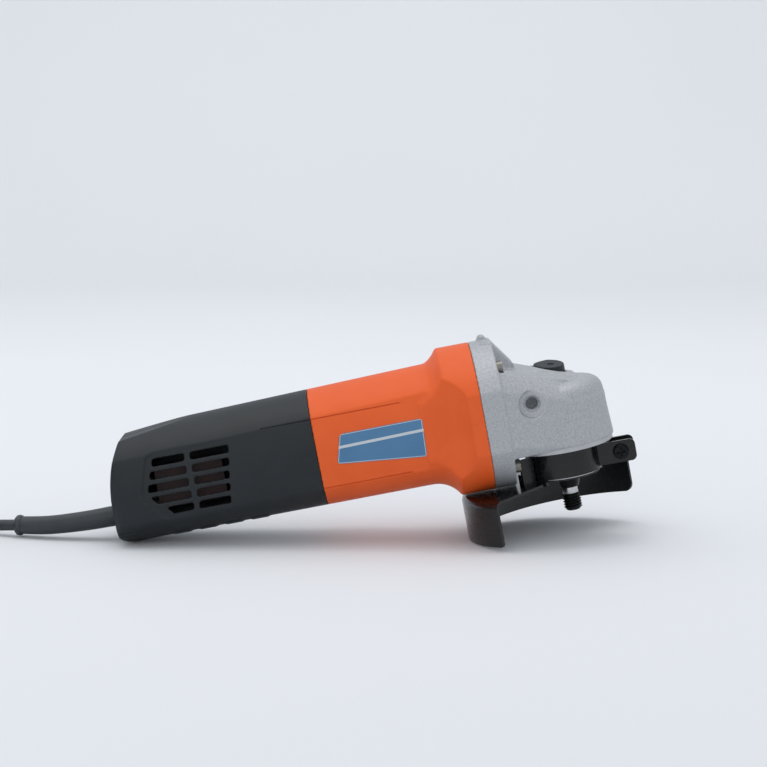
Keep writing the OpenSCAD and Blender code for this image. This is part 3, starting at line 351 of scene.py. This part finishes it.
# Dark red polyester film of the capacitor, seen through the vents
red_film = finish("dark_red_film", "#240808", "#1A0606", 0.7, patch=8, grain=0.5)
# Nickel-plated brass of the plug pins
nickel_plate = finish("nickel_plate", "#CFCBC0", "#BDB9AF", 0.18, metallic=1.0, patch=6, grain=0.2,
                      depth=0.003)
# Pale matt paper sweep
stage_paper = finish("pale_paper", "#DADDE1", "#D8DBDF", 0.9, patch=900, grain=2, depth=0.0)


def make_label_film():
    """Printed polyester film, blue with a pale frame line and a pale band, and nothing written on it.

    Each mark is a line along * x + across * z = place, as wide as given, all in mm."""
    material = finish("blue_label_film", "#44759D", "#3F7098", 0.4, patch=20, grain=0.3, depth=0.003)
    tree = material.node_tree
    shader = next(n for n in tree.nodes if n.type == "BSDF_PRINCIPLED")
    base = shader.inputs["Base Color"].links[0].from_socket
    uv = add_node(tree, "ShaderNodeUVMap").outputs["UV"]
    lines = [(-0.018, 1.0, 3.75, 1.5),
             (-0.0044, 1.0, 8.67, 0.3), (0.1062, 1.0, -19.67, 0.3),
             (1.0, -0.2548, -120.34, 0.3), (1.0, -0.0476, -74.47, 0.3)]
    total = None
    for along, across, place, width in lines:
        dot = add_node(tree, "ShaderNodeVectorMath", {"operation": "DOT_PRODUCT", 1: (along, across, 0)},
                       {0: uv}).outputs["Value"]
        mark = add_node(tree, "ShaderNodeMath", {"operation": "COMPARE", 1: place, 2: width / 2},
                        {0: dot}).outputs["Value"]
        if total:
            mark = add_node(tree, "ShaderNodeMath", {"operation": "MAXIMUM"},
                            {0: total, 1: mark}).outputs["Value"]
        total = mark
    printed = add_node(tree, "ShaderNodeMix", {"data_type": "RGBA", 7: colour("#B9C2C8")},
                       {0: total, 6: base})
    tree.links.new(printed.outputs[2], shader.inputs["Base Color"])
    return material


label_film = make_label_film()

PAINT = {
    orange_abs: ["motor_housing"],
    black_nylon: ["handle_right", "handle_left", "switch_button", "lock_button", "fan", "air_baffle",
                  "switch_block", "cord_clamp", "plug_body"],
    cast_aluminium: ["gear_housing"],
    turned_aluminium: ["bearing_retainer"],
    black_enamel: ["guard_shell", "guard_collar"],
    black_oxide: ["spindle", "gear_circlip", "clamp_screw"],
    ground_steel: ["spindle_bearing_outer", "spindle_bearing_inner", "front_bearing_outer",
                   "front_bearing_inner", "rear_bearing_outer", "rear_bearing_inner", "bearing_balls",
                   "armature_shaft", "lock_pin", "lock_spring", "brush_springs"],
    zinc_plate: ["handle_screws", "housing_screws", "retainer_screws", "cord_clamp_screws",
                 "switch_rod", "pinion_nut", "clamp_nut"],
    gear_steel: ["drive_gear", "pinion"],
    core_steel: ["stator_core", "armature_core"],
    copper_wire: ["armature_winding", "field_coils", "commutator"],
    sintered_bronze: ["spindle_top_bush"],
    drawn_brass: ["brush_holders"],
    pressed_carbon: ["carbon_brushes"],
    nitrile: ["dust_ring", "rear_bearing_sleeve", "cord_tie"],
    soft_pvc: ["cord_tail"],
    red_film: ["switch_toggle", "capacitor", "lead_wires"],
    nickel_plate: ["plug_pins"],
    label_film: ["rating_label"],
}


def paint_cad_nodes():
    for material, names in PAINT.items():
        for name in names:
            mesh = frame["nodes"][name].data
            mesh.materials.clear()
            mesh.materials.append(material)


# ---------------------------------------------------------------- cord


CORD_D = 6.3
TIE_T = 1.0
BOOT_ROUTE = [(-144.4, -9.4, 13.7), (-163, -9, 10.4), (-183, -6, 7.6), (-202, 0, 6.4)]
CORD_ROUTE = [(-211.5, 3, 5.8), (-222, 8, 4.4), (-235, 16.5, 3.3), (-250, 24.5, 3.2), (-263, 29.5, 3.2),
              (-276, 31.2, 3.2)]
END_ROUTE = [(-317, -14, 10.4), (-318, -24, 10.4), (-320, -35, 10.2), (-322, -46, 10)]
COIL_CENTRE = (-276, -10)
COIL_R = 34.6


def smooth_line(points, step):
    """A smooth line through the points, with a point about every step, in mm."""
    p = [Vector(q) for q in points]
    ends = [2 * p[0] - p[1]] + p + [2 * p[-1] - p[-2]]
    line = []
    for a, b, c, d in zip(ends, ends[1:], ends[2:], ends[3:]):
        count = max(1, round((c - b).length / step))
        for k in range(count):
            t = k / count
            line.append(0.5 * (2 * b + (c - a) * t + (2 * a - 5 * b + 4 * c - d) * t * t
                               + (3 * b - a - 3 * c + d) * t ** 3))
    return line + [p[-1]]


def coil_turns():
    """A little over eight turns in nine places, three wide and three high.

    A place is a ring and a layer. Each turn shifts to the next one over its last part, shift."""
    shift = 0.4
    places = [(1, 0), (0, 0), (-1, 0), (-1, 1), (-1, 2), (0, 2), (1, 2), (0, 1), (1, 1), (1, 1)]
    start, end = math.radians(90), math.radians(90 + 8 * 360 + 95.6)
    per_turn = 72
    total = round((end - start) / math.tau * per_turn)
    line = []
    for i in range(1, total):
        turn = i / per_turn
        k = int(turn)
        here, after = places[k], places[k + 1]
        blend = max(0.0, (turn - k - (1 - shift)) / shift)
        blend = blend * blend * (3 - 2 * blend)
        ring, layer = (h + (n - h) * blend for h, n in zip(here, after))
        angle = start + turn * math.tau
        radius = COIL_R + ring * CORD_D
        line.append(Vector((COIL_CENTRE[0] + radius * math.cos(angle),
                            COIL_CENTRE[1] + radius * math.sin(angle),
                            TIE_T + CORD_D * (0.5 + layer))))
    return line


def length_of(line):
    return sum((b - a).length for a, b in zip(line, line[1:]))


def tube(name, line, radius, radii=None, resolution=4):
    """A round tube along a line in millimetres, as a curve; radii scale it point by point."""
    data = bpy.data.curves.new(name, "CURVE")
    data.dimensions = "3D"
    data.bevel_depth = radius * MM
    data.bevel_resolution = resolution
    data.use_fill_caps = True
    spline = data.splines.new("POLY")
    spline.points.add(len(line) - 1)
    for i, point in enumerate(line):
        spline.points[i].co = (*(point * MM), 1)
        spline.points[i].radius = 1 if radii is None else radii[i]
    obj = bpy.data.objects.new(name, data)
    bpy.context.scene.collection.objects.link(obj)
    return obj


def make_cord():
    """The whole lead: through the boot, along the floor, round the coil and up to the plug."""
    line = (smooth_line(BOOT_ROUTE + CORD_ROUTE, 3)[:-1] + coil_turns() + smooth_line(END_ROUTE, 3))
    cord = tube("mains_cord", line, CORD_D / 2)
    cord.data.materials.append(soft_pvc)
    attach(cord, "body")
    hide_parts("cord", "cord_coil")
    return cord, length_of(line)


def make_boot():
    """Tapered strain relief with a rounded collar at its end."""
    start_r, taper, neck_r, bulge_r, tube_r = 5.7, 0.8, 4.6, 1.2, 5
    buried, collar = 2, 4.0
    line = smooth_line(BOOT_ROUTE, 1)
    back = (line[0] - line[1]).normalized()
    line = [line[0] + back * buried] + line
    whole = length_of(line)
    run, radii = 0.0, []
    for i, point in enumerate(line):
        run += (point - line[i - 1]).length if i else 0
        r = start_r - taper * run / whole
        from_end = whole - run
        if from_end < collar:
            bulge = math.sin(math.pi * min(1, max(0, from_end / collar)))
            r = neck_r + bulge_r * math.sqrt(max(0, bulge))
        radii.append(r / tube_r)
    boot = tube("strain_relief_boot", line, tube_r, radii, resolution=7)
    select_only(boot)
    bpy.ops.object.convert(target="MESH")
    bpy.ops.object.shade_smooth_by_angle(angle=math.radians(50))
    dress(boot, soft_pvc, "body", "cord_rubber", "cord_boot")
    return boot


def lay_cord():
    boot = make_boot()
    cord, length = make_cord()
    plug = softened("plug_body", "moulded_plug", 0.7, 6)
    dress(plug, black_nylon, "body", "plug_plastic", "plug_body")


# ---------------------------------------------------------------- detailed pieces


MOULD_VOXEL = 0.62
GROOVE_Z = 19.1


def make_gear_head():
    head = softened("gear_housing", "cast_gear_head", 0.55, 5)
    dress(head, cast_aluminium, "body", "cast_aluminium", "gear_housing")


def cut_grooves(shell, spans):
    """Cuts fine mould grooves in both sides: each span is the back, the front and the height, in mm."""
    width, depth, side_y, cutter_y = 0.62, 0.7, 26.6, 4
    for x0, x1, z in spans:
        for side in (-1, 1):
            bpy.ops.object.select_all(action="DESELECT")
            bpy.ops.mesh.primitive_cube_add(size=1)
            cutter = bpy.context.object
            size = Vector((x1 - x0, cutter_y, width)) * MM
            centre = Vector(((x0 + x1) / 2, side * (side_y - depth + cutter_y / 2), z)) * MM
            cutter.data.transform(tool @ Matrix.Translation(centre) @ Matrix.Diagonal((*size, 1)))
            cut = shell.modifiers.new("groove", "BOOLEAN")
            cut.operation = "DIFFERENCE"
            cut.solver = "FAST"
            cut.object = cutter
            apply_all(shell)
            bpy.data.objects.remove(cutter)
    bpy.ops.object.shade_smooth_by_angle(angle=math.radians(40))


def make_handle():
    """Both halves with the soft edges of a moulding; the split line between them stays open."""
    for side in ("right", "left"):
        half = softened("handle_" + side, "handle_half_" + side, MOULD_VOXEL, 2)
        cut_grooves(half, [(-160, -131, GROOVE_Z)])
        dress(half, black_nylon, "body", "black_plastic", "handle_" + side)


def make_motor_housing():
    """The cove runs into the flare without an edge, and only the flare's crest stays crisp."""
    back, front, inner_r = -73.5, -59, 26.5

    def in_cove(x, y, z):
        return back < x < front and math.hypot(y, z) > inner_r

    housing = softened("motor_housing", "motor_shell", MOULD_VOXEL, 2, in_cove, 24)
    cut_grooves(housing, [(-134, -84, GROOVE_Z), (-134, -84, -GROOVE_Z)])
    dress(housing, orange_abs, "body", "orange_plastic", "motor_housing")


def make_shade_card():
    """A thin dark sheet between the filter and the switch, painted shade for the dark inside seen through
    the vents; it shuts off the view through them.
    """
    (x0, x1), (z0, z1), y, thick = (-222, -171), (-19, 19), 2.2, 0.5
    bpy.ops.object.select_all(action="DESELECT")
    bpy.ops.mesh.primitive_cube_add(size=1, location=((x0 + x1) / 2 * MM, y * MM, (z0 + z1) / 2 * MM))
    card = bpy.context.object
    card.scale = ((x1 - x0) * MM, thick * MM, (z1 - z0) * MM)
    bpy.ops.object.transform_apply(location=False, rotation=False, scale=True)
    bevel = card.modifiers.new("corners", "BEVEL")
    bevel.width = 0.2 * MM
    bevel.segments = 2
    apply_all(card)
    # This sheet is painted shade: a dark piece that stands in for the shade inside the housing behind the
    # vents.
    settle(card, "painted_shade_card")
    dress(card, black_nylon, "body", "switch_plastic")


def make_lock_cap():
    cap = softened("lock_button", "lock_cap", 0.25, 6)
    dress(cap, black_nylon, "lock", "black_plastic", "lock_button")


def make_spindle():
    """Turned spindle with a real helical thread below its seat."""
    thread_z = -59.9
    core = turned("threaded_spindle", [
        (3.4, -61.1), (4.25, -60.3), (4.25, -51.6), (4.0, -51.2), (4.0, -48.2), (5.1, -48),
        (6.3, -44.3), (6.5, -44), (6.5, -42.6), (6, -42.5), (6, -28), (5, -27.9), (5, -6.4),
        (3.5, -4.7), (3.5, 8.1), (3.1, 8.6)])
    settle(core, "threaded_spindle")
    dress(core, black_oxide, "spindle_unit", "dark_steel", "spindle")
    neck = turned("spindle_undercut", [(4.1, -51.7), (4.25, -51.4), (4.25, -48.6), (4.1, -48.1)])
    settle(neck, "spindle_undercut")
    dress(neck, ground_steel, "spindle_unit", "dark_steel")
    ridge = thread_ridge("spindle_thread", 4.1, 5.0, 1.5, 7.5)
    settle(ridge, "spindle_thread", tool @ Matrix.Translation((0, 0, thread_z * MM)))
    dress(ridge, black_oxide, "spindle_unit", "dark_steel")


def make_neck_ring():
    """Flattened rubber ring on the end of the neck, just inside the guard's collar."""
    middle_r, band_r, flatness, ring_z = 17.35, 0.75, 0.95, -40.7
    bpy.ops.object.select_all(action="DESELECT")
    bpy.ops.mesh.primitive_torus_add(major_radius=middle_r * MM, minor_radius=band_r * MM,
                                     major_segments=96, minor_segments=16, location=(0, 0, 0))
    ring = bpy.context.object
    bpy.ops.object.mode_set(mode="EDIT")
    bpy.ops.transform.resize(value=(1, 1, flatness))
    bpy.ops.transform.translate(value=(0, 0, ring_z * MM))
    bpy.ops.object.mode_set(mode="OBJECT")
    bpy.ops.object.shade_smooth()
    settle(ring, "neck_ring")
    dress(ring, nitrile, "body", "black_rubber")


def make_rating_plate():
    """Thin film with rounded corners, laid on the housing's curved side; its UV map is in mm.

    That side is an arc of side_r whose centre lies side_centre past the motor's axis."""
    side_r, side_centre, corner_r, thick = 108.7, 80.4, 2, 0.44
    corners = [(-122.6, -7.1), (-74.6, -12.2), (-118.6, 8.6), (-73.6, 8.8)]
    bpy.ops.object.select_all(action="DESELECT")
    bpy.ops.mesh.primitive_plane_add(size=1)
    plate = bpy.context.object
    for vertex, (x, z) in zip(plate.data.vertices, corners):
        vertex.co = Vector((x, 0, z)) * MM
    bpy.ops.object.mode_set(mode="EDIT")
    bpy.ops.mesh.select_all(action="SELECT")
    bpy.ops.mesh.bevel(offset=corner_r * MM, segments=6, affect="VERTICES")
    bpy.ops.mesh.select_all(action="SELECT")
    bpy.ops.mesh.quads_convert_to_tris()
    bpy.ops.mesh.subdivide(number_cuts=12)
    bpy.ops.object.mode_set(mode="OBJECT")
    flat_uv = {}
    for vertex in plate.data.vertices:
        x, z = vertex.co.x / MM, vertex.co.z / MM
        vertex.co.y = (side_centre - math.sqrt(side_r ** 2 - z * z)) * MM
        flat_uv[vertex.index] = (x, z)
    for loop in plate.data.loops:
        plate.data.uv_layers.active.data[loop.index].uv = flat_uv[loop.vertex_index]
    solid = plate.modifiers.new("film", "SOLIDIFY")
    solid.thickness = thick * MM
    solid.offset = 0
    apply_all(plate)
    bpy.ops.object.shade_smooth_by_angle(angle=math.radians(30))
    settle(plate, "rating_plate")
    dress(plate, label_film, "body", "blue_label", "rating_label")


def make_side_threads():
    """The M8 threads in the two side handle holes."""
    hole_x, hole_z, start_y = -14.4, 5.6, 20.8
    for name, side in (("side_thread_right", -1), ("side_thread_left", 1)):
        ridge = thread_ridge(name, 4.1, 3.4, 1.25, 8.75)
        turn = Matrix.Rotation(-side * math.pi / 2, 4, "X")
        place = Matrix.Translation(Vector((hole_x, side * start_y, hole_z)) * MM)
        settle(ridge, name, tool @ place @ turn)
        dress(ridge, cast_aluminium, "body", "cast_aluminium")


make_camera()
paint_cad_nodes()
lay_cord()
sweep = make_stage()
sweep.data.materials.append(stage_paper)
light_scene()
make_gear_head()
make_motor_housing()
make_handle()
# The dark sheet behind the vents, painted shade for the inside of the housing
make_shade_card()
make_lock_cap()
make_spindle()
make_neck_ring()
make_rating_plate()
make_side_threads()
